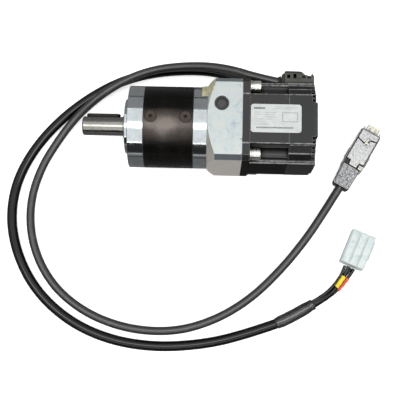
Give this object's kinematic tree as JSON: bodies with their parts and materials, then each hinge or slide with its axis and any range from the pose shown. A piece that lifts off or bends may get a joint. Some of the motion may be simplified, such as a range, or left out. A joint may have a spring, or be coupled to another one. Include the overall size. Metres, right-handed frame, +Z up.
{
  "type": "inline gear reducer",
  "caption": "Inline planetary gear reducer with a keyed output shaft, clamped to a square servo motor through an adapter block, with both cables and their plugs.",
  "frame": {"origin": "centre of the output mounting face, on the shaft axis", "axes": "+X along the shaft axis towards the motor, so the output shaft points to -X; +Z up from the surface that the unit lies on"},
  "size_m": [0.2833, 0.2191, 0.0602],
  "materials": {
    "nickel_steel": "polished, turned",
    "black_oxide": "satin black oxide",
    "zinc_block": "blasted, pale grey",
    "steel": "ground",
    "bearing_cage": "pressed",
    "fastener": "nickel plated",
    "seal_rubber": "matt",
    "plug_grey": "moulded",
    "motor_shell": "dark grey matt coating",
    "cover_black": "dark semi-gloss coating",
    "iron": "bare",
    "copper": "enamelled wire",
    "circuit_board": "solder mask",
    "label": "printed film",
    "connector_plastic": "moulded",
    "signal_jacket": "matt jacket",
    "power_jacket": "gloss jacket",
    "heat_shrink": "satin sleeve",
    "hood_metal": "scratched",
    "nylon": "translucent natural nylon",
    "contact_metal": "tinned",
    "yellow_sleeve": "tube",
    "red_sleeve": "tube"
  },
  "bodies": {
    "root": {"access_plug": "plug_grey", "adapter_screws": "fastener", "bearing_circlip": "steel", "connector_screws": "fastener", "encoder_board": "circuit_board", "flat_washers": "fastener", "front_housing": "nickel_steel", "input_bearing_outer_rings": "steel", "marker_sleeve_red": "red_sleeve", "marker_sleeve_yellow": "yellow_sleeve", "motor_adapter": "zinc_block", "motor_flange": "motor_shell", "motor_screws": "fastener", "output_bearing_outer_rings": "steel", "output_shaft_seal": "seal_rubber", "power_cable": "power_jacket", "power_connector": "connector_plastic", "power_heat_shrink": "heat_shrink", "power_lead_1": "power_jacket", "power_lead_2": "power_jacket", "power_lead_3": "power_jacket", "power_lead_4": "power_jacket", "power_plug_contacts": "contact_metal", "power_plug_housing": "nylon", "power_strain_relief": "seal_rubber", "rating_label": "label", "rear_bearing_bracket": "motor_shell", "rear_cover": "cover_black", "rear_cover_screws": "fastener", "rear_flange": "nickel_steel", "ring_gear_sleeve": "black_oxide", "signal_cable": "signal_jacket", "signal_connector": "connector_plastic", "signal_plug_hood": "hood_metal", "signal_plug_latches": "hood_metal", "signal_plug_shell": "hood_metal", "signal_strain_relief": "seal_rubber", "sleeve_screws": "black_oxide", "spring_washers": "fastener", "stator_core": "iron", "stator_housing": "motor_shell", "stator_windings": "copper"},
    "output": {"output_carrier_shaft": "steel", "output_key": "steel", "planet_pins": "steel", "carrier_rear_plate": "steel", "output_bearing_inner_rings": "steel"},
    "planet_1": {"planet_gear_1": "steel"},
    "planet_2": {"planet_gear_2": "steel"},
    "planet_3": {"planet_gear_3": "steel"},
    "input": {"sun_shaft_hub": "steel", "clamp_screw": "fastener", "motor_shaft": "steel", "rotor_core": "iron", "rotor_magnets": "iron", "encoder_magnet": "iron", "input_bearing_inner_rings": "steel"},
    "output_cages": {"output_bearing_cages": "bearing_cage"},
    "input_cages": {"input_bearing_cages": "bearing_cage"}
  },
  "joints": [
    {"name": "output_spin", "type": "hinge", "parent": "root", "child": "output", "pos_m": [0, 0, 0], "axis": [1, 0, 0], "continuous": true},
    {"name": "input_spin", "type": "hinge", "parent": "root", "child": "input", "pos_m": [0.05, 0, 0], "axis": [1, 0, 0], "continuous": true},
    {"name": "planet_1_spin", "type": "hinge", "parent": "output", "child": "planet_1", "pos_m": [0.0337, 0.015, 0], "axis": [1, 0, 0], "continuous": true},
    {"name": "planet_2_spin", "type": "hinge", "parent": "output", "child": "planet_2", "pos_m": [0.0337, -0.0075, 0.01299], "axis": [1, 0, 0], "continuous": true},
    {"name": "planet_3_spin", "type": "hinge", "parent": "output", "child": "planet_3", "pos_m": [0.0337, -0.0075, -0.01299], "axis": [1, 0, 0], "continuous": true},
    {"name": "output_cage_spin", "type": "hinge", "parent": "root", "child": "output_cages", "pos_m": [0.012, 0, 0], "axis": [1, 0, 0], "continuous": true},
    {"name": "input_cage_spin", "type": "hinge", "parent": "root", "child": "input_cages", "pos_m": [0.0475, 0, 0], "axis": [1, 0, 0], "continuous": true}
  ],
  "couplings": [
    {"joint": "input_spin", "follows": "output_spin", "ratio": 5},
    {"joint": "planet_1_spin", "follows": "output_spin", "ratio": -2.6667},
    {"joint": "planet_2_spin", "follows": "output_spin", "ratio": -2.6667},
    {"joint": "planet_3_spin", "follows": "output_spin", "ratio": -2.6667},
    {"joint": "output_cage_spin", "follows": "output_spin", "ratio": 0.40846},
    {"joint": "input_cage_spin", "follows": "output_spin", "ratio": 1.9936}
  ]
}
